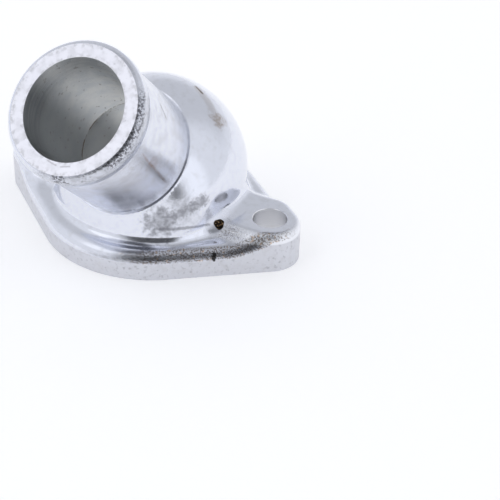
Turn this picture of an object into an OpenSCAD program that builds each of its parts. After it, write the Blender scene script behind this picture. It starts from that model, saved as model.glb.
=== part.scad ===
// Coolant flange: a two bolt water outlet, cast in aluminium as one piece.
// The gasket face lies on z = 0 with the bolt holes on the X axis, and the hose
// spigot leans over the front edge, towards -Y.

/* [Bolt flange] */
// Distance between the two bolt holes
bolt_spacing = 82.6; // [78:0.2:100]
// Diameter of the bolt holes
bolt_hole_d = 10.6; // [6:0.1:12]
// Radius of the round middle of the flange
flange_r = 34.7; // [34:0.1:38]
// Radius of each ear round its bolt hole
ear_r = 9.3; // [8.5:0.1:12]
// Height of the flange in front of the dome and behind it
shelf_h = 9.2; // [6:0.1:10.5]
// Height of the raised bolt pads
pad_h = 13.1; // [12:0.1:15]
// Half width of the flat top of each bolt pad
pad_half_w = 9.3; // [7:0.1:14]
// Radius of the worn upper edges
edge_r = 2.3; // [0.8:0.1:3]
// Radius of the fillet where the pads' sides meet the shelf
foot_fillet_r = 1.4; // [0.6:0.1:1.6]

/* [Dome] */
// Outer radius of the dome
dome_r = 29.3; // [28.5:0.1:30.2]
// Height of the dome's centre over the gasket face
dome_z = 17.6; // [17:0.1:22]
// Radius of the fillet between the dome and the shelf
shelf_fillet_r = 3; // [1:0.1:3.8]
// Radius of the fillet between the dome and the pads
pad_fillet_r = 3.9; // [1:0.1:3.9]

/* [Spigot] */
// Angle of the spigot over the gasket face
spigot_angle = 45; // [35:1:60]
// Distance from the dome's centre to the faced end of the spigot
spigot_reach = 56.8; // [45:0.1:70]
// Diameter of the turned neck that the hose slides over
neck_d = 39.1; // [36:0.1:40]
// Distance from the dome's centre to the shoulder where the turned neck ends
shoulder_reach = 20.6; // [19:0.1:26]
// Diameter of the bead that holds the hose
bead_d = 41.1; // [40.4:0.1:44]
// Length of the bead, from the faced end to its fine groove
bead_len = 6.8; // [5:0.1:9]
// Radius of the bead's round nose
bead_nose_r = 1.9; // [0.8:0.1:2.4]
// Length of the round crest of the bead behind its nose
crest_len = 1.6; // [0.5:0.1:2.5]
// Depth of the fine groove behind the bead
groove_depth = 0.25; // [0.1:0.05:0.6]
// Width of the fine groove behind the bead
groove_w = 0.6; // [0.3:0.1:1]

/* [Waterway] */
// Diameter of the bore through the spigot
bore_d = 29.6; // [20:0.1:32]
// Length of the bored and cleaned stretch inside the mouth
counterbore_len = 9; // [2:0.5:15]
// How much wider the cleaned stretch is than the rest of the bore
counterbore_step = 0.3; // [0.1:0.1:1]
// Diameter of the round chamber under the dome
chamber_d = 47.6; // [40:0.1:50]
// Width of the broken edge round the chamber's mouth
mouth_chamfer = 0.6; // [0.2:0.1:1.2]

/* [Casting flaw] */
// Diameter of the blow hole beside the front of the right pad
pit_d = 2.9; // [1:0.1:4]
// Direction of the blow hole from the dome's axis
pit_angle = -18; // [-30:1:-8]
// Share of the fillet's radius by which the blow hole lies out from the dome
pit_share = 0.35; // [0:0.05:0.8]

/* [Hidden] */
$fn = 96;
// Depth by which a shape sinks into its neighbour, so that no two only touch
seam = 0.03;
// Length by which a cutting shape runs out past the face that it opens
over = 1;
bolt_x = bolt_spacing / 2;
neck_r = neck_d / 2;
bead_r = bead_d / 2;
bore_r = bore_d / 2;
chamber_r = chamber_d / 2;
// Direction of the flange's straight sides, which touch the middle and an ear
side_angle = acos((flange_r - ear_r) / bolt_x);
side_len = bolt_x * sin(side_angle);
// Length by which a straight side runs past the points where it touches the rounds
side_over = 0.4;
// The blow hole lies where the dome's fillet meets the edge of the pad
pit_reach = dome_r + pad_fillet_r * pit_share;
pit_z = pad_h - edge_r * pit_share;
// Half width of the pads at their straight sides
ridge_half_w = pad_half_w + edge_r;
// Length that is longer than the part in every direction
beyond = 4 * (bolt_x + spigot_reach);

// Half section of a plate with a round upper edge, from its middle outwards
module plate_section(r, h) {
    square([r - edge_r, h]);
    square([r, h - edge_r]);
    translate([r - edge_r, h - edge_r]) circle(r = edge_r);
}

// Round plate with a round upper edge
module round_plate(r, h) {
    rotate_extrude() intersection() {
        plate_section(r, h);
        square([r + edge_r, h + edge_r]);
    }
}

// Straight side of the flange, between the middle and one ear
module side_plate(h) {
    rotate([0, 0, side_angle - 90]) translate([-side_over, 0, 0]) rotate([90, 0, 90])
        linear_extrude(side_len + 2 * side_over) plate_section(flange_r - seam, h);
}

// Two bolt flange with vertical sides and a round upper edge
module flange_plate(h) {
    round_plate(flange_r, h);
    for (end = [0, 1]) mirror([end, 0, 0]) {
        translate([bolt_x, 0, 0]) round_plate(ear_r, h);
        for (side = [0, 1]) mirror([0, side, 0]) side_plate(h);
    }
}

// Sweeps a half section along the bolt line, to both sides of it
module along_bolt_line() {
    translate([-beyond / 2, 0, 0]) rotate([90, 0, 90]) linear_extrude(beyond)
        for (side = [0, 1]) mirror([side, 0]) children();
}

// Straight ridge along the bolt line, whose flat top is the pads' width
module pad_ridge(h) {
    along_bolt_line() plate_section(ridge_half_w, h);
}

// Fillet at the foot of the ridge, where it stands on the shelf
module pad_foot() {
    along_bolt_line() difference() {
        square([ridge_half_w + foot_fillet_r, shelf_h + foot_fillet_r - 2 * seam]);
        translate([ridge_half_w + foot_fillet_r - seam, shelf_h + foot_fillet_r - seam])
            circle(r = foot_fillet_r);
    }
}

// Dome on a straight wall, with the fillet that runs out on a face at height h
module dome_body(h, fillet_r) {
    rotate_extrude() {
        translate([0, dome_z]) intersection() {
            circle(r = dome_r);
            square(dome_r + over);
        }
        square([dome_r - seam, dome_z + seam]);
        difference() {
            square([dome_r + fillet_r, h + fillet_r]);
            translate([dome_r + fillet_r, h + fillet_r - seam]) circle(r = fillet_r);
            translate([0, h]) square([dome_r - edge_r, fillet_r * 2]);
        }
    }
}

// Section of the turned spigot, along its axis from the dome's centre
module spigot_section() {
    nose_x = bead_r - bead_nose_r;
    nose_y = spigot_reach - bead_nose_r;
    groove_y = spigot_reach - bead_len;
    polygon([
        [0, 0],
        [neck_r, 0],
        [neck_r, groove_y - groove_w],
        [neck_r - groove_depth, groove_y - groove_w / 2],
        [neck_r, groove_y],
        [bead_r, nose_y - crest_len],
        [bead_r, nose_y],
        [nose_x, nose_y],
        [nose_x, spigot_reach],
        [0, spigot_reach]
    ]);
    translate([nose_x, nose_y]) intersection() {
        circle(r = bead_nose_r);
        translate([-seam, -seam]) square(2 * bead_nose_r);
    }
}

// Places a shape along the spigot's axis, from the dome's centre
module along_spigot() {
    translate([0, 0, dome_z]) rotate([90 - spigot_angle, 0, 0]) children();
}

// Room that the turning tool leaves round the neck, down to its shoulder
module turning_room() {
    room_len = dome_r - shoulder_reach + over;
    translate([0, 0, shoulder_reach]) difference() {
        cylinder(r = dome_r, h = room_len);
        translate([0, 0, -seam]) cylinder(r = neck_r - seam, h = room_len + 2 * seam);
    }
}

// Water passage: round chamber under the dome, open at the gasket face
module chamber() {
    translate([0, 0, dome_z]) sphere(r = chamber_r);
    translate([0, 0, -over]) cylinder(r = chamber_r - seam, h = dome_z + over);
    translate([0, 0, -seam])
        cylinder(r1 = chamber_r + mouth_chamfer, r2 = chamber_r - seam, h = mouth_chamfer + seam);
}

// Water passage: cored bore of the spigot, cleaned up at its mouth
module bore() {
    cylinder(r = bore_r, h = spigot_reach + over);
    translate([0, 0, spigot_reach - counterbore_len])
        cylinder(r = bore_r + counterbore_step, h = counterbore_len + over);
}

// The whole casting
module casting() {
    color([0.79, 0.8, 0.85]) difference() {
        union() {
            flange_plate(shelf_h);
            intersection() {
                flange_plate(pad_h);
                union() {
                    pad_ridge(pad_h);
                    pad_foot();
                }
            }
            difference() {
                dome_body(shelf_h, shelf_fillet_r);
                along_spigot() turning_room();
            }
            intersection() {
                dome_body(pad_h, pad_fillet_r);
                pad_ridge(pad_h + 2 * pad_fillet_r);
            }
            along_spigot() rotate_extrude() spigot_section();
        }
        chamber();
        along_spigot() bore();
        for (end = [-1, 1]) translate([end * bolt_x, 0, -over])
            cylinder(d = bolt_hole_d, h = pad_h + 2 * over);
        rotate([0, 0, pit_angle]) translate([pit_reach, 0, pit_z]) sphere(d = pit_d);
    }
}

casting();
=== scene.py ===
import math
import bmesh
import bpy
from mathutils import Matrix, Vector, noise


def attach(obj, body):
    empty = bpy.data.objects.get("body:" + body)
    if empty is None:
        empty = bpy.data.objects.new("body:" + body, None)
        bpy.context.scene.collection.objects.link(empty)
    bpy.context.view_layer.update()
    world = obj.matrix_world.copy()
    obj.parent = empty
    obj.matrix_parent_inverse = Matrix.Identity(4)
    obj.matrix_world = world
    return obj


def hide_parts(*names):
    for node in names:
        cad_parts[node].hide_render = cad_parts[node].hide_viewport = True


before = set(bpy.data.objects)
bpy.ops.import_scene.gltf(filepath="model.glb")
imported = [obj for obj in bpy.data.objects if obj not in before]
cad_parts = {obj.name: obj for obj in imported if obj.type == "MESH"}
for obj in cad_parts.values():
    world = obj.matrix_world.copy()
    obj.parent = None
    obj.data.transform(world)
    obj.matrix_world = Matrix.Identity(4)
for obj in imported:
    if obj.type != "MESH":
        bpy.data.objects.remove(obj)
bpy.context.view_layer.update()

# The raw casting is one piece of aluminium, poured in a sand mould and then polished all over.
# Its skin grows from one distance field: two flange plates, the raised bolt pads, the dome and
# the spigot, each joined to the next by a round fillet. The sizes are in millimetres.
MM = 0.001


class Wire:
    """An output of a node, on which sums in Python add Math nodes."""

    def __init__(self, bench, socket):
        self.bench = bench
        self.socket = socket

    def math(self, operation, *others):
        terms = dict(enumerate((self,) + others))
        return self.bench.add("ShaderNodeMath", terms, operation=operation)

    def __add__(self, other):
        return self.math("ADD", other)

    def __sub__(self, other):
        return self.math("SUBTRACT", other)

    def __mul__(self, other):
        return self.math("MULTIPLY", other)

    def __truediv__(self, other):
        return self.math("DIVIDE", other)

    def __rsub__(self, other):
        return self.math("MULTIPLY_ADD", -1.0, other)

    def __pow__(self, other):
        return self.math("POWER", other)

    __radd__ = __add__
    __rmul__ = __mul__

    def least(self, other):
        return self.math("MINIMUM", other)

    def most(self, other):
        return self.math("MAXIMUM", other)

    def size(self):
        return self.math("ABSOLUTE")

    def step(self, start, end):
        """Rises smoothly from 0 at start to 1 at end."""
        return self.bench.add(
            "ShaderNodeMapRange", {"Value": self, "From Min": start, "From Max": end},
            interpolation_type="SMOOTHSTEP",
        )


class Bench:
    """A node tree being wired, for the casting's shape or for one of its finishes."""

    def __init__(self, tree):
        self.tree = tree

    def add(self, kind, inputs=(), out=0, **settings):
        """Adds a node: its settings first, then the values or links of its sockets."""
        node = self.tree.nodes.new(kind)
        for name, value in settings.items():
            setattr(node, name, value)
        for key, value in dict(inputs).items():
            if isinstance(value, Wire):
                self.tree.links.new(value.socket, node.inputs[key])
            else:
                node.inputs[key].default_value = value
        return None if out is None else Wire(self, node.outputs[out])


def hypot(a, b):
    return (a * a + b * b).math("SQRT")


def rounded(a, b, radius):
    """Keeps what lies under both surfaces, with a rounded edge where they meet."""
    reach = hypot((a + radius).most(0.0), (b + radius).most(0.0))
    return a.most(b).least(-1.0 * radius) + reach


def filleted(a, b, radius):
    """Joins two shapes, with a round fillet where they meet."""
    reach = hypot((radius - a).most(0.0), (radius - b).most(0.0))
    return a.least(b).most(radius) - reach


def from_outline(x, y, bolt_x, middle_r, ear_r):
    """Distance from the flange's outline: a round middle, two ears, and sides that touch both."""
    along = x.size()
    across = y.size()
    lean = (middle_r - ear_r) / bolt_x
    rise = (1.0 - lean * lean) ** 0.5
    from_middle = hypot(along, across) - middle_r
    from_ear = hypot(along - bolt_x, across) - ear_r
    from_side = along * lean + across * rise - middle_r
    run = along * rise - across * lean
    before = run.math("LESS_THAN", 0.0)
    after = run.math("GREATER_THAN", rise * bolt_x)
    return from_side + before * (from_middle - from_side) + after * (from_ear - from_side)


SKIN_SIZES = {
    "Bolt hole from middle": 41.3,
    "Flange radius": 34.7,
    "Ear radius": 9.3,
    "Shelf height": 9.2,
    "Pad height": 13.1,
    "Pad half width": 11.3,
    "Pad side slope": 0.9,
    "Pad turn": 0.035,
    "Shelf edge radius": 3.8,
    "Ear edge radius": 2.6,
    "Pad edge radius": 1.4,
    "Pad foot fillet": 1.8,
    "Dome radius": 29.3,
    "Dome centre height": 17.6,
    "Dome lean": 0.5,
    "Dome relief round the spigot": 1.25,
    "Shelf fillet": 2.7,
    "Pad fillet": 3.9,
    "Raw neck radius": 19.9,
    "Bead radius": 20.55,
    "Bead start": 49.9,
    "Bead crest": 53.2,
    "Bead end": 56.88,
    "Bead nose": 2.1,
    "Allowance under the base": 1.0,
    "Skin waviness": 0.05,
}
SKIN_LOW = Vector((-52.5, -57.0, -3.0))
SKIN_HIGH = Vector((52.5, 37.0, 74.0))
GRAIN = 0.5
SPIGOT_ANGLE = math.radians(45)
BORE_R = 14.8
CHAMBER_R = 23.8
CREASE_REACH = math.sqrt(CHAMBER_R ** 2 - BORE_R ** 2)
PIT_PLACE = Vector((29.3, -9.7, 12.4))
FOOT_LINE = ((27.0, -11.4, 12.7), (22.9, -18.3, 13.8), (15.5, -24.9, 14.4), (12.5, -26.5, 14.3))

skin_tree = bpy.data.node_groups.new("casting_skin", "GeometryNodeTree")
skin_tree.interface.new_socket("Geometry", in_out="OUTPUT", socket_type="NodeSocketGeometry")
skin_socket = {}
for name, value in SKIN_SIZES.items():
    socket = skin_tree.interface.new_socket(name, in_out="INPUT", socket_type="NodeSocketFloat")
    skin_socket[name] = socket.identifier
skin_socket["Finish"] = skin_tree.interface.new_socket(
    "Finish", in_out="INPUT", socket_type="NodeSocketMaterial").identifier

mould = Bench(skin_tree)
given = mould.tree.nodes.new("NodeGroupInput")
size = {name: Wire(mould, given.outputs[name]) for name in SKIN_SIZES}

place = mould.add("GeometryNodeInputPosition")
in_mm = mould.add("ShaderNodeVectorMath", {0: place, "Scale": 1 / MM}, operation="SCALE")
x, y, z = (mould.add("ShaderNodeSeparateXYZ", {0: in_mm}, out=axis) for axis in range(3))

outline = from_outline(x, y, size["Bolt hole from middle"], size["Flange radius"],
                       size["Ear radius"])

# The low shelf in front and behind, and the bolt pads that a ridge with sloping sides
# leaves high. The ridge is half its width halfway up.
off_ridge = (y - x * size["Pad turn"]).size()
halfway = (size["Pad height"] + size["Shelf height"]) * 0.5
slope = size["Pad side slope"]
ridge_side = (off_ridge - size["Pad half width"] + (z - halfway) * slope) / (
    slope * slope + 1.0) ** 0.5
ridge = rounded(ridge_side, z - size["Pad height"], size["Pad edge radius"])
top = filleted(z - size["Shelf height"], ridge, size["Pad foot fillet"])
edge_radius = size["Ear edge radius"] + (
    size["Shelf edge radius"] - size["Ear edge radius"]) * off_ridge.step(9.0, 17.0)
flange = rounded(outline, top, edge_radius)

# The spigot is round about an axis that leaves the dome at 45 degrees
up = z - size["Dome centre height"]
reach = up * math.sin(SPIGOT_ANGLE) - y * math.cos(SPIGOT_ANGLE)
side = up * math.cos(SPIGOT_ANGLE) + y * math.sin(SPIGOT_ANGLE)
from_axis = hypot(x, side)

# The dome stands on a straight wall, leans back a little, and is lower round the spigot
back = y - size["Dome lean"] * z.step(12.0, 26.0)
from_centre = hypot(hypot(x, back), up.most(0.0))
relief = size["Dome relief round the spigot"] * (reach / from_centre.most(1.0)).step(0.3, 0.72)
dome = from_centre - size["Dome radius"] + relief
fillet = size["Pad fillet"] + (size["Shelf fillet"] - size["Pad fillet"]) * off_ridge.step(12, 20)
chamber_wall = filleted(flange, dome, fillet)
swell = (size["Bead radius"] - size["Raw neck radius"]) * reach.step(
    size["Bead start"], size["Bead crest"])
spigot = rounded(from_axis - size["Raw neck radius"] - swell, reach - size["Bead end"],
                 size["Bead nose"]).most(-1.0 * reach)
solid = chamber_wall.least(spigot).most(-1.0 * z - size["Allowance under the base"])

ripple = mould.add("ShaderNodeTexNoise", {"Vector": in_mm, "Scale": 0.09, "Detail": 1.0})
depth = solid + (ripple - 0.5) * size["Skin waviness"]

block = mould.add("GeometryNodeVolumeCube", {
    "Density": (1.0 - depth * 0.25).most(0.0).least(2.0),
    "Min": SKIN_LOW * MM,
    "Max": SKIN_HIGH * MM,
    "Resolution X": round((SKIN_HIGH.x - SKIN_LOW.x) / GRAIN),
    "Resolution Y": round((SKIN_HIGH.y - SKIN_LOW.y) / GRAIN),
    "Resolution Z": round((SKIN_HIGH.z - SKIN_LOW.z) / GRAIN),
})
skin = mould.add("GeometryNodeVolumeToMesh", {0: block, "Threshold": 1.0})
for _ in range(3):
    outwards = mould.add("GeometryNodeInputNormal")
    inwards = mould.add("ShaderNodeVectorMath", {0: outwards, "Scale": depth * -MM},
                        operation="SCALE")
    skin = mould.add("GeometryNodeSetPosition", {"Geometry": skin, "Offset": inwards})
skin = mould.add("GeometryNodeSetShadeSmooth", {"Geometry": skin})
skin = mould.add("GeometryNodeRealizeInstances", {"Geometry": skin})
skin = mould.add("GeometryNodeSetMaterial", {
    "Geometry": skin, "Material": Wire(mould, given.outputs["Finish"])})
mould.tree.links.new(skin.socket, mould.tree.nodes.new("NodeGroupOutput").inputs[0])


# The finishes are those of the casting's zones. Each reads the object's own place in
# millimetres, so that its grain, tool marks and stains stay where they are on the metal.
class Finish(Bench):
    """The node tree of one finish, with the place on the casting at hand."""

    def __init__(self, name):
        self.material = bpy.data.materials.new(name)
        self.material.use_nodes = True
        super().__init__(self.material.node_tree)
        self.tree.nodes.clear()
        where = self.add("ShaderNodeTexCoord", out="Object")
        self.place = self.add("ShaderNodeVectorMath", {0: where, "Scale": 1 / MM},
                              operation="SCALE")
        self.x, self.y, self.z = self.split(self.place)
        up = self.z - SKIN_SIZES["Dome centre height"]
        self.reach = up * math.sin(SPIGOT_ANGLE) - self.y * math.cos(SPIGOT_ANGLE)
        self.side = up * math.cos(SPIGOT_ANGLE) + self.y * math.sin(SPIGOT_ANGLE)

    def split(self, vector):
        return [self.add("ShaderNodeSeparateXYZ", {0: vector}, out=axis) for axis in range(3)]

    def noise(self, scale, detail=2.0, stretch=(1, 1, 1), where=None):
        """Noise whose grains are 1 / scale millimetres wide, or drawn out along an axis."""
        drawn = self.add("ShaderNodeVectorMath", {0: where or self.place, 1: stretch},
                         operation="MULTIPLY")
        return self.add("ShaderNodeTexNoise", {"Vector": drawn, "Scale": scale, "Detail": detail})

    def rings(self, scale, along):
        """Tool marks that run round an axis, as fine noise along it."""
        where = self.add("ShaderNodeCombineXYZ", {0: along, 1: self.x * 0.04, 2: self.y * 0.04})
        return self.noise(scale, 3.0, where=where)

    def spot(self, centre, radius, soft=0.5):
        """A patch with a ragged edge."""
        far = self.add("ShaderNodeVectorMath", {0: self.place, 1: centre}, out="Value",
                       operation="DISTANCE")
        return (far + (self.noise(0.5, 4.0) - 0.5) * radius * 2.0).step(radius, radius * soft)

    def stroke(self, start, end, width):
        """A scratch or streak between two points."""
        start, end = Vector(start), Vector(end)
        line = end - start
        off = self.add("ShaderNodeVectorMath", {0: self.place, 1: start}, operation="SUBTRACT")
        along = self.add("ShaderNodeVectorMath", {0: off, 1: line / line.length_squared},
                         out="Value", operation="DOT_PRODUCT")
        foot = self.add("ShaderNodeVectorMath", {0: line, "Scale": along.most(0.0).least(1.0)},
                        operation="SCALE")
        far = self.add("ShaderNodeVectorMath", {0: off, 1: foot}, out="Value",
                       operation="DISTANCE")
        return (far + (self.noise(1.7) - 0.5) * width).step(width, width * 0.3)

    def mix(self, share, low, high):
        """Mixes two colours."""
        colours = {"Factor": share, 6: low, 7: high}
        return self.add("ShaderNodeMix", colours, out=2, data_type="RGBA", clamp_factor=True)

    def done(self, colour, roughness, height, metallic=1.0):
        """Ends the tree in a metal whose surface stands up by height millimetres."""
        bump = self.add("ShaderNodeBump", {"Height": height, "Distance": MM})
        metal = self.add("ShaderNodeBsdfPrincipled", {
            "Base Color": colour, "Metallic": metallic, "Roughness": roughness, "Normal": bump})
        self.add("ShaderNodeOutputMaterial", {"Surface": metal}, out=None)
        return self.material


SILVER = (0.78, 0.80, 0.87, 1)
DULL = (0.60, 0.60, 0.63, 1)
GRIME = (0.16, 0.12, 0.09, 1)
STAIN = (0.36, 0.30, 0.25, 1)


def polished_skin():
    """The skin of the casting: polished, but belt-sanded on its sides and worn on its edges. Painted reflections
    darken the dome's base and the front edge, and a painted highlight lightens the pad slopes.
    """
    metal = Finish("polished_casting")
    grain = metal.noise(5.0, 3.0)
    mottle = metal.noise(0.5, 3.0)
    buffed = metal.noise(1.3, 2.0, stretch=(0.3, 1.6, 1.6))
    belt = metal.noise(1.5, 3.0, stretch=(0.35, 0.35, 2.5))
    grit = metal.noise(2.2, 4.0)

    tilt = metal.split(metal.add("ShaderNodeNewGeometry", out="Normal"))[2]
    rim = from_outline(metal.x, metal.y, SKIN_SIZES["Bolt hole from middle"],
                       SKIN_SIZES["Flange radius"], SKIN_SIZES["Ear radius"])
    low = metal.z.step(15.0, 14.0)
    sanded = rim.step(-0.9, -0.3) * low * tilt.size().step(0.14, 0.04)
    edge = rim.step(-3.0, -2.2) * low * tilt.step(0.05, 0.2) * tilt.step(0.98, 0.9)
    bead = metal.reach.step(50.0, 51.0)
    worn = (edge + bead).least(1.0)
    slopes = (metal.z.step(9.4, 10.0) * metal.z.step(13.0, 12.2) * metal.x.step(20.0, 26.0)
              * hypot(metal.x, metal.y).step(31.5, 33.0) * tilt.step(0.98, 0.9))

    # The right-hand front edge's rounding: it carries real dark flecks and brass specks, and is also darkened a
    # little as a painted reflection.
    flecks_and_reflection_zone = edge * metal.y.step(2.0, -8.0) * metal.x.step(6.0, 18.0)

    smear = metal.stroke((10.0, 10.6, 43.4), (17.5, 6.5, 40.3), 2.2) * 0.4
    stain = (metal.spot((20.2, 5.0, 38.3), 4.2, 0.2)
             * (metal.noise(0.9, 4.0).step(0.3, 0.6) * 0.7 + 0.3)).most(smear)
    streak = metal.stroke((9.1, 11.0, 43.6), (12.1, 9.6, 42.8), 0.6)
    matt = (slopes * 0.5).most(metal.spot(PIT_PLACE, 6.0, 0.3))
    nick = metal.stroke((32.4, -18.1, 7.5), (32.9, -18.9, 5.9), 0.85)
    # Painted reflection: mottled dark patches on the dome's front base stand for a dark sheet lying in front of
    # the casting, mirrored in the metal.
    painted_reflection = (metal.spot((17.9, -23.2, 16.4), 7.0, 0.3).most(
        metal.spot((22.5, -18.5, 19.0), 7.0, 0.2) * 0.5).most(
        metal.stroke((20.2, -21.2, 18.0), (26.0, -13.2, 21.5), 2.8))
        * (metal.noise(0.9, 4.0).step(0.3, 0.65) * 0.35 + 0.65))
    brass = flecks_and_reflection_zone * metal.noise(0.8, 4.0).step(0.6, 0.66)
    patches = metal.noise(0.6, 4.0).step(0.4, 0.66)
    line = metal.stroke(*FOOT_LINE[:2], 0.7).most(metal.stroke(*FOOT_LINE[1:3], 0.8)).most(
        metal.stroke(*FOOT_LINE[2:], 0.6))
    flecks = (flecks_and_reflection_zone * grit.step(0.47, 0.6)).most(
        slopes * metal.x.step(40.0, 32.0) * metal.y.step(0.0, -5.0) * grit.step(0.5, 0.6) * 0.7)
    lower_right = (metal.x * 1.2 - metal.side * 0.8).step(8.0, 18.0)
    # Painted reflection: the low part of the front edge's rounding is darkened in mottled patches, standing for
    # a dark sheet lying in front.
    painted_edge_reflection = (edge * metal.y.step(2.0, -8.0) * metal.x.step(-6.0, 6.0)
               * tilt.step(0.45, 0.25) * (patches * 0.4 + 0.6))
    rough_lip = bead * lower_right
    scuffs = metal.reach.step(53.8, 55.2) * lower_right * (
        metal.noise(1.6, 4.0).step(0.42, 0.56) * metal.noise(0.2).step(0.25, 0.5))

    colour = metal.mix(mottle.step(0.45, 0.8) * 0.3 + sanded * 0.6, SILVER, DULL)
    # Darker colour: painted reflections on the dome's base and along the front edge, with the bead's scuffs and
    # rough lip and the marks of the sanding.
    dark = (painted_reflection * 0.75).most(rough_lip * (patches * 0.2 + 0.2)).most(scuffs * 0.95).most(painted_edge_reflection * 0.6).most(
        flecks_and_reflection_zone * 0.3).most(sanded * metal.noise(0.9, 4.0).step(0.55, 0.75) * 0.35)
    colour = metal.mix(dark, colour, (0.15, 0.15, 0.17, 1))
    # Painted highlight: the pad's sloping sides are lightened to near white.
    colour = metal.mix(slopes * 0.8, colour, (0.94, 0.95, 0.99, 1))
    colour = metal.mix(line * 0.6, colour, (0.15, 0.15, 0.17, 1))
    colour = metal.mix(stain * 0.75, colour, STAIN)
    colour = metal.mix(brass * 0.7, colour, (0.75, 0.55, 0.38, 1))
    colour = metal.mix((flecks * 0.75).most(streak), colour, GRIME)
    colour = metal.mix(nick.step(0.1, 0.6) * 0.92, colour, (0.015, 0.013, 0.012, 1))
    roughness = (mottle * 0.1 + sanded * 0.2 + worn * 0.1 + stain * 0.2 + painted_reflection * 0.1
                 + matt * 0.25 + 0.1)
    height = (grain * 0.004 + mottle * 0.03 + buffed * 0.002 + sanded * belt * 0.06
              + (flecks_and_reflection_zone + rough_lip + slopes * 0.6) * grit * 0.08 + bead * patches * 0.02
              - streak * 0.05)
    return metal.done(colour, roughness, height)


def turned_neck():
    """The neck, turned on a lathe, with the marks that hoses and clamps left on it."""
    metal = Finish("turned_neck")
    lines = metal.rings(4.0, metal.reach)
    mottle = metal.noise(0.35, 3.0)
    scratch = metal.stroke((15.8, -20.7, 54.6), (17.4, -20.2, 50.4), 0.3)
    track = metal.stroke((19.1, -35.7, 47.1), (18.4, -22.1, 30.4), 0.55)
    smear = metal.spot((19.2, -30.0, 41.0), 3.0)
    colour = metal.mix(mottle.step(0.4, 0.7) * 0.5, SILVER, DULL)
    colour = metal.mix(smear * 0.35 + track * metal.noise(1.2).step(0.35, 0.6) * 0.6, colour,
                       (0.42, 0.33, 0.30, 1))
    colour = metal.mix(scratch * 0.6, colour, GRIME)
    height = lines * 0.012 + mottle * 0.03 - scratch * 0.04
    return metal.done(colour, lines * 0.08 + mottle * 0.1 + 0.15, height)


def faced_end(name):
    """A face that was machined flat, with a few dents near its edges."""
    metal = Finish(name)
    from_axis = hypot(metal.x, metal.side)
    lines = metal.rings(3.0, from_axis)
    mottle = metal.noise(0.4, 3.0)
    near_edge = from_axis.step(17.3, 18.6).most(from_axis.step(16.4, 15.2))
    dents = metal.noise(0.9, 2.0).step(0.66, 0.74).most(
        near_edge * metal.noise(0.8, 4.0).step(0.45, 0.6))
    scratch = metal.stroke((-1.5, -51.2, 46.9), (1.5, -51.6, 46.4), 0.3).most(
        metal.stroke((3.0, -51.6, 46.4), (5.6, -51.0, 47.0), 0.25))
    colour = metal.mix(mottle.step(0.4, 0.7) * 0.35 + dents * 0.5, (0.86, 0.86, 0.92, 1), DULL)
    colour = metal.mix(scratch * 0.25, colour, GRIME)
    height = lines * 0.004 + metal.noise(1.5, 4.0) * 0.03 - dents * 0.03 - scratch * 0.06
    return metal.done(colour, mottle * 0.1 + 0.3, height)


def cored_inside():
    """The water passage: dull as it came from the sand core, cleaned up at its mouth."""
    metal = Finish("cored_inside")
    cleaned = metal.reach.step(44.0, 50.0)
    lines = metal.rings(1.6, metal.reach)
    sand = metal.noise(1.6, 4.0)
    mottle = metal.noise(0.22, 3.0)
    soot = metal.noise(0.7, 4.0).step(0.63, 0.72)
    low_left = (metal.x + metal.side) * 0.7
    shade = low_left.step(-1.0, -11.0)
    colour = metal.mix(mottle.step(0.3, 0.7), (0.84, 0.87, 0.90, 1), (0.99, 1.0, 1.0, 1))
    crease = hypot(metal.reach - CREASE_REACH, hypot(metal.x, metal.side) - BORE_R).step(0.7, 0.2)
    crack = metal.stroke((-14.7, -14.3, 29.8), (-13.6, -17.4, 26.5), 1.0).most(
        metal.stroke((-13.7, -9.0, 35.0), (-14.6, -11.4, 32.7), 0.6))
    colour = metal.mix(shade * 0.78 + cleaned * lines * 0.3, colour, (0.2, 0.21, 0.22, 1))
    colour = metal.mix(crack.most(crease * sand.step(0.35, 0.55) * 0.6), colour, GRIME)
    colour = metal.mix(soot * 0.4, colour, GRIME)
    height = sand * (0.06 - cleaned * 0.04) + cleaned * lines * 0.08 + mottle * 0.1
    return metal.done(colour, 0.38 - cleaned * 0.06 + mottle * 0.1, height)


def drilled_hole():
    """The wall of a bolt hole, with the rings that the drill left."""
    metal = Finish("drilled_hole")
    lines = metal.rings(2.0, metal.z)
    colour = metal.mix(lines, (0.86, 0.87, 0.90, 1), (0.98, 0.98, 1.0, 1))
    return metal.done(colour, 0.3, lines * 0.05)


def blow_hole():
    """The pit that a gas bubble left, with dirt and a few bright grains in it."""
    metal = Finish("blow_hole")
    grains = metal.noise(2.4, 3.0).step(0.55, 0.62)
    colour = metal.mix(grains, (0.035, 0.028, 0.024, 1), (0.75, 0.50, 0.26, 1))
    return metal.done(colour, 0.45, metal.noise(1.8, 4.0) * 0.3, metallic=0.8)


# The piece grows from its tree as one closed skin, whose finish is the polished one.
casting = bpy.data.objects.new("casting_body", bpy.data.meshes.new("casting_body"))
bpy.context.scene.collection.objects.link(casting)


def baked(piece):
    """The piece's mesh with its modifiers in it, which then leave the piece."""
    shown = piece.evaluated_get(bpy.context.evaluated_depsgraph_get())
    mesh = bpy.data.meshes.new_from_object(shown)
    piece.modifiers.clear()
    piece.data = mesh
    return mesh


grow = casting.modifiers.new("grow", "NODES")
grow.node_group = skin_tree
for name, value in SKIN_SIZES.items():
    grow[skin_socket[name]] = value
grow[skin_socket["Finish"]] = polished_skin()
baked(casting)

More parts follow.
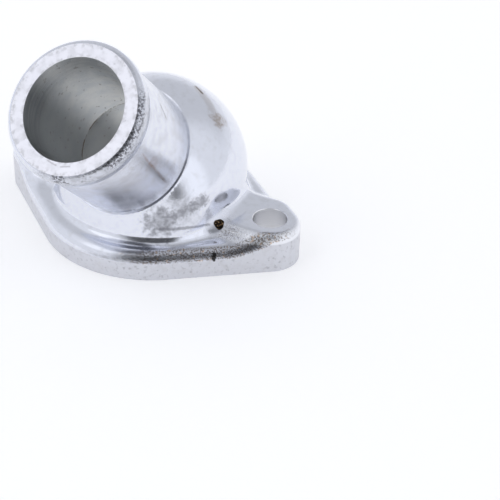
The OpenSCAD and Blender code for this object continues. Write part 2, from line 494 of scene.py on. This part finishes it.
# What the face mill, the lathe, the drill and the mould's cores took away from the raw
# casting, and the one blow hole. Each cutter gives its own finish to the metal it leaves.
SPIGOT_REACH = 56.8
SHOULDER = 19.6
NECK_R = 19.55
GROOVE_MIDDLE = 49.7
MOUTH_R = 15.1
BOLT_R = 5.15
DOME_Z = SKIN_SIZES["Dome centre height"]
PAD_TOP = SKIN_SIZES["Pad height"]
BOLT_X = SKIN_SIZES["Bolt hole from middle"]
PIT_R = 1.55
upright = Matrix.Identity(4)
spigot_place = Matrix.Translation((0, 0, DOME_Z * MM)) @ Matrix.Rotation(SPIGOT_ANGLE, 4, "X")


def cutter(name, form, finish):
    """Makes a cutter from its form, and deletes the form."""
    bmesh.ops.recalc_face_normals(form, faces=form.faces)
    shape = bpy.data.meshes.new(name)
    form.to_mesh(shape)
    form.free()
    shape.materials.append(finish)
    piece = bpy.data.objects.new(name, shape)
    bpy.context.scene.collection.objects.link(piece)
    return piece


def lathe(name, profile, axis_place, finish, turns=192):
    """A closed form turned about an axis, from points of radius and height in millimetres."""
    form = bmesh.new()
    rings = []
    for radius, height in profile:
        if radius == 0:
            rings.append([form.verts.new((0, 0, height * MM))] * turns)
        else:
            spokes = (math.tau * k / turns for k in range(turns))
            rings.append([form.verts.new((radius * MM * math.cos(a), radius * MM * math.sin(a),
                                          height * MM)) for a in spokes])
    ends = [] if profile[0][0] == 0 else [(rings[-1], rings[0])]
    for low, high in list(zip(rings, rings[1:])) + ends:
        for k in range(turns):
            n = (k + 1) % turns
            corners = dict.fromkeys((low[k], low[n], high[n], high[k]))
            form.faces.new(corners)
    bmesh.ops.transform(form, matrix=axis_place, verts=form.verts)
    return cutter(name, form, finish)


def blow_hole_form():
    """A bubble with an uneven wall."""
    form = bmesh.new()
    bmesh.ops.create_icosphere(form, subdivisions=4, radius=PIT_R * MM)
    for point in form.verts:
        point.co *= 1 + 0.22 * noise.noise(point.co / MM * 0.9)
    bmesh.ops.translate(form, vec=PIT_PLACE * MM, verts=form.verts)
    return form


inside = cored_inside()
drilled = drilled_hole()
chamber_roof = [(CHAMBER_R * math.cos(a), DOME_Z + CHAMBER_R * math.sin(a))
                for a in (math.radians(2.25 * k) for k in range(40))]
cutters = [
    lathe("face_mill", [(0, -6), (70, -6), (70, 0), (0, 0)], upright, faced_end("milled_base"),
          48),
    lathe("chamber_core", [(0, -3), (CHAMBER_R + 3.6, -3), (CHAMBER_R, 0.6), (CHAMBER_R, 6),
                           (CHAMBER_R, 12)] + chamber_roof + [(0, DOME_Z + CHAMBER_R)],
          upright, inside),
    lathe("bore_core", [(0, 10), (BORE_R, 10), (BORE_R, 30), (BORE_R, SPIGOT_REACH - 10),
                        (MOUTH_R, SPIGOT_REACH - 8), (MOUTH_R, SPIGOT_REACH - 0.1),
                        (MOUTH_R + 1.1, SPIGOT_REACH + 1), (0, SPIGOT_REACH + 1)],
          spigot_place, inside),
    lathe("facing_tool", [(0, SPIGOT_REACH), (30, SPIGOT_REACH), (30, SPIGOT_REACH + 4),
                          (0, SPIGOT_REACH + 4)], spigot_place, faced_end("faced_end")),
    lathe("turning_tool", [(NECK_R, SHOULDER), (NECK_R, GROOVE_MIDDLE - 0.3),
                           (NECK_R - 0.22, GROOVE_MIDDLE), (NECK_R, GROOVE_MIDDLE + 0.3),
                           (25, GROOVE_MIDDLE + 0.3), (25, SHOULDER)],
          spigot_place, turned_neck(), 256),
    cutter("bubble", blow_hole_form(), blow_hole()),
]
for end in (-1, 1):
    cutters.append(lathe(f"drill_{end + 1}", [(0, -2), (BOLT_R, -2), (BOLT_R, PAD_TOP - 0.2),
                                              (BOLT_R + 1, PAD_TOP + 0.8), (0, PAD_TOP + 0.8)],
                         Matrix.Translation((end * BOLT_X * MM, 0, 0)), drilled, 96))
for piece in cutters:
    cut = casting.modifiers.new(piece.name, "BOOLEAN")
    cut.object = piece
    cut.solver = "MANIFOLD"
    cut.material_mode = "TRANSFER"
mesh = baked(casting)
for piece in cutters:
    bpy.data.objects.remove(piece)
mesh.shade_smooth()
mesh.set_sharp_from_angle(angle=math.radians(28))
form = bmesh.new()
form.from_mesh(mesh)
for edge in form.edges:
    if len({face.material_index for face in edge.link_faces}) > 1:
        edge.smooth = False
form.to_mesh(mesh)
form.free()

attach(casting, "root")
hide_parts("casting")

# The camera stands where the photograph was taken from.
EYE = Vector((0.20303, -0.32651, 0.25696))
LOOK_AZIMUTH = math.radians(-27.24)
LOOK_DOWN = math.radians(35.07)
ROLL = math.radians(1.98)
FOCAL_PIXELS = 1464.4
PHOTO_PIXELS = 500
lens = bpy.data.cameras.new("photo_camera")
lens.sensor_width = 36
lens.lens = lens.sensor_width * FOCAL_PIXELS / PHOTO_PIXELS
lens.clip_start = 0.01
camera = bpy.data.objects.new("photo_camera", lens)
bpy.context.scene.collection.objects.link(camera)
ahead = Vector((math.sin(LOOK_AZIMUTH) * math.cos(LOOK_DOWN),
                math.cos(LOOK_AZIMUTH) * math.cos(LOOK_DOWN), -math.sin(LOOK_DOWN)))
aim = ahead.to_track_quat("-Z", "Y").to_matrix().to_4x4()
camera.matrix_world = Matrix.Translation(EYE) @ aim @ Matrix.Rotation(ROLL, 4, "Z")
bpy.context.scene.camera = camera

# The floor is white paper, pale enough to glow a little, a hair under the gasket face
form = bmesh.new()
bmesh.ops.create_grid(form, x_segments=1, y_segments=1, size=2.0)
floor_mesh = bpy.data.meshes.new("floor")
form.to_mesh(floor_mesh)
form.free()
floor = bpy.data.objects.new("floor", floor_mesh)
floor.location.z = -0.02 * MM
bpy.context.scene.collection.objects.link(floor)
paper = bpy.data.materials.new("paper")
paper.use_nodes = True
sheet = paper.node_tree.nodes["Principled BSDF"]
sheet.inputs["Base Color"].default_value = (0.93, 0.93, 0.94, 1)
sheet.inputs["Roughness"].default_value = 0.8
sheet.inputs["Emission Color"].default_value = (1, 1, 1, 1)
sheet.inputs["Emission Strength"].default_value = 0.38
floor_mesh.materials.append(paper)

# The studio is white all round, a little darker overhead and at the back, with a dark strip
# behind the camera, where the photographer stood, and a brighter wall on the right.
STRIP_AZIMUTH = math.radians(28)
PANEL_AZIMUTH = math.radians(74)
world = bpy.data.worlds.new("studio")
bpy.context.scene.world = world
world.use_nodes = True
world.node_tree.nodes.clear()
sky = Bench(world.node_tree)
facing = sky.add("ShaderNodeTexCoord", out="Generated")
east, north, height = (sky.add("ShaderNodeSeparateXYZ", {0: facing}, out=axis)
                       for axis in range(3))
level = hypot(east, north).most(0.001)


def towards(azimuth):
    """Cosine of the angle on the horizon from an azimuth, which starts at the front."""
    return (east * math.sin(azimuth) - north * math.cos(azimuth)) / level


def sine(degrees):
    return math.sin(math.radians(degrees))


strip = (towards(STRIP_AZIMUTH).step(sine(90 - 40), sine(90 - 20))
         * height.step(sine(66), sine(50)) * height.step(sine(-40), sine(-20)))
panel = (towards(PANEL_AZIMUTH).step(sine(90 - 18), sine(90 - 8))
         * height.step(sine(48), sine(38)))
overhead = height.step(sine(55), sine(85))
rear = towards(math.radians(200)).step(sine(90 - 85), sine(90 - 40)) * height.step(
    sine(8), sine(28))
strength = ((1.0 - strip * 0.88) * (1.0 - overhead * 0.35) * (1.0 - rear * 0.25)
            + panel * 0.25) * 0.9
background = sky.add("ShaderNodeBackground", {"Color": (0.93, 0.95, 1.0, 1),
                                              "Strength": strength})
sky.add("ShaderNodeOutputWorld", {"Surface": background}, out=None)


def softbox(name, place, width, height, power):
    """A light panel that faces the casting."""
    light = bpy.data.lights.new(name, "AREA")
    light.shape = "RECTANGLE"
    light.size = width
    light.size_y = height
    light.energy = power
    box = bpy.data.objects.new(name, light)
    box.location = place
    box.rotation_euler = (Vector((0, 0, 0.03)) - box.location).to_track_quat("-Z", "Y").to_euler()
    bpy.context.scene.collection.objects.link(box)


softbox("key_light", (-0.37, -0.57, 0.73), 0.5, 0.5, 0.25)
bpy.context.scene.view_settings.view_transform = "Standard"
